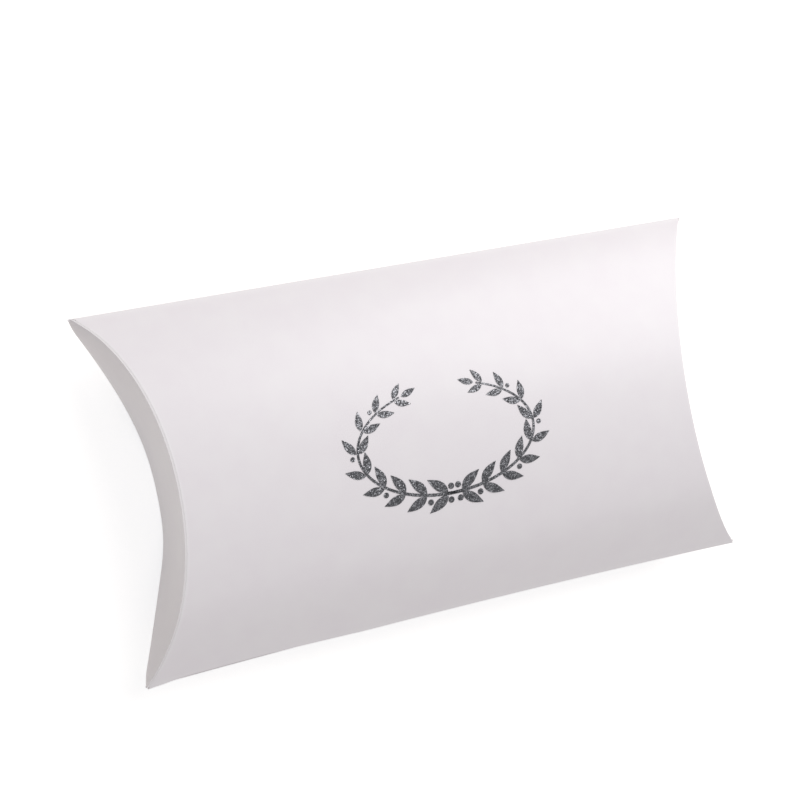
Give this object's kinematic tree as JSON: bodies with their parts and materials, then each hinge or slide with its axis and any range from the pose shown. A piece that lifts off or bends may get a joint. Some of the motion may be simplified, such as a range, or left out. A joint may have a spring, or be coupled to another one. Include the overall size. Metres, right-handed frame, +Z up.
{
  "type": "pillow box",
  "caption": "Card pillow box: two bowed panels meet along sharp long edges, and curved flaps fold in on arc-shaped creases to close both ends and hold the bow.",
  "frame": {"origin": "on the surface that the box lies on, at the middle of the back panel's crown and of the box's outline", "axes": "+X along the length, +Y across the width towards the folded long edge (the glued edge is at -Y), +Z up through the front panel's crown"},
  "size_m": [0.1596, 0.0858, 0.028],
  "materials": {
    "pearl_card": "satin",
    "adhesive": "satin",
    "glitter_foil": "satin"
  },
  "bodies": {
    "sleeve": {"front_panel": "pearl_card", "back_panel": "pearl_card", "glue_flap": "pearl_card", "glue_beads": "adhesive"},
    "left_outer_end": {"left_outer_flap": "pearl_card"},
    "right_outer_end": {"right_outer_flap": "pearl_card"},
    "left_inner_end": {"left_inner_flap": "pearl_card"},
    "right_inner_end": {"right_inner_flap": "pearl_card"}
  },
  "joints": [
    {"name": "left_outer_fold", "type": "hinge", "parent": "sleeve", "child": "left_outer_end", "pos_m": [-0.066, 0, 0], "axis": [0, -1, 0], "range_deg": [0, 90]},
    {"name": "right_outer_fold", "type": "hinge", "parent": "sleeve", "child": "right_outer_end", "pos_m": [0.066, 0, 0], "axis": [0, 1, 0], "range_deg": [0, 90]},
    {"name": "left_inner_fold", "type": "hinge", "parent": "sleeve", "child": "left_inner_end", "pos_m": [-0.06483, 0, 0.028], "axis": [0, 1, 0], "range_deg": [0, 90]},
    {"name": "right_inner_fold", "type": "hinge", "parent": "sleeve", "child": "right_inner_end", "pos_m": [0.06483, 0, 0.028], "axis": [0, -1, 0], "range_deg": [0, 90]}
  ],
  "couplings": [
    {"joint": "left_inner_fold", "follows": "left_outer_fold", "ratio": 1},
    {"joint": "right_inner_fold", "follows": "right_outer_fold", "ratio": 1}
  ]
}
